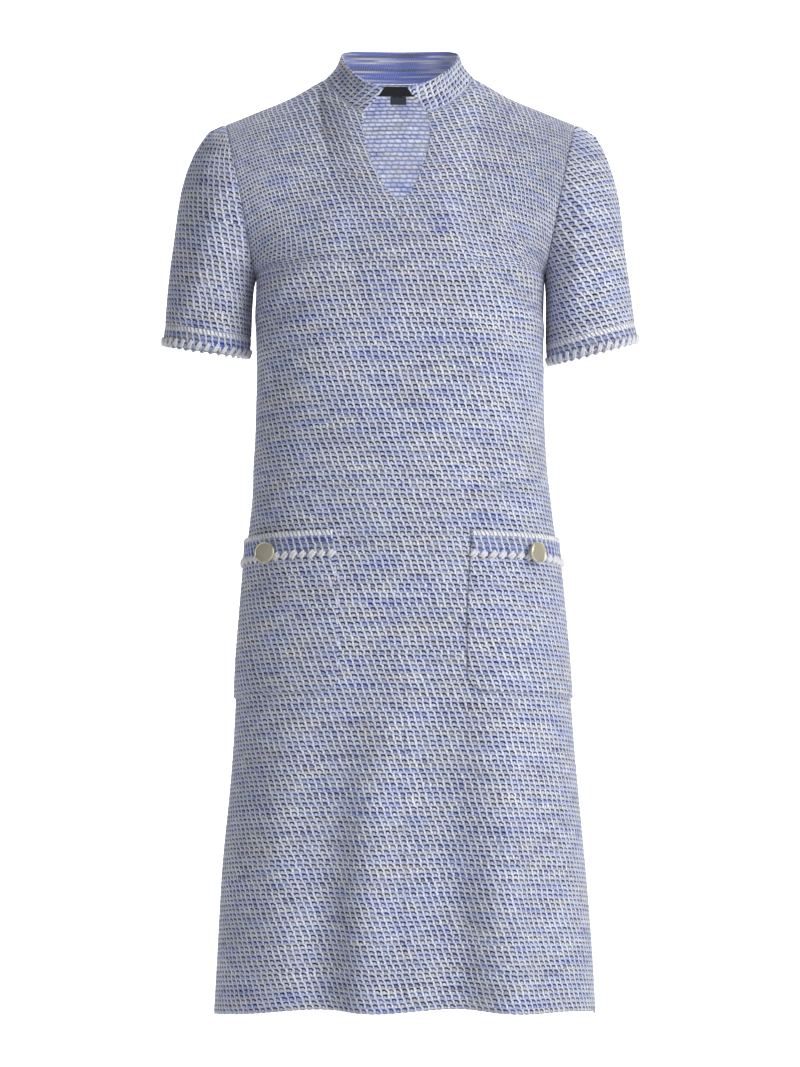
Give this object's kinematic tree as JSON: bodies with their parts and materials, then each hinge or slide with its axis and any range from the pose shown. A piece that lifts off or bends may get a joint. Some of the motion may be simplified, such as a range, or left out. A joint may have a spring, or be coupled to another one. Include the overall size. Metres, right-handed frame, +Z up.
{
  "type": "shift dress",
  "caption": "Knee-length knitted tweed shift dress, filled out and hollow, with a notched stand collar, short banded sleeves and buttoned patch pockets.",
  "frame": {"origin": "where the wearer's shoulders hold the dress: on the mid plane, midway between the shoulder seams, at the middle of their height", "axes": "+Z up, -Y the way the front faces, +X to the wearer's left"},
  "size_m": [0.5089, 0.2811, 1.0343],
  "materials": {
    "tweed_cloth": "space-dyed knitted tweed, blue, navy and pale grey",
    "band_cloth": "pale knitted band with whip stitch",
    "button_face": "pale gold button with a fine textured face",
    "label_cloth": "black woven label, bare"
  },
  "bodies": {
    "root": {"front_panel": "tweed_cloth", "back_panel": "tweed_cloth", "sleeve_left": "tweed_cloth", "sleeve_right": "tweed_cloth", "collar": "tweed_cloth", "pocket_left": "tweed_cloth", "pocket_right": "tweed_cloth", "cuff_band_left": "band_cloth", "cuff_band_right": "band_cloth", "pocket_band_left": "band_cloth", "pocket_band_right": "band_cloth", "button_left": "button_face", "button_right": "button_face", "neck_label": "label_cloth", "size_tab": "label_cloth"}
  },
  "joints": []
}
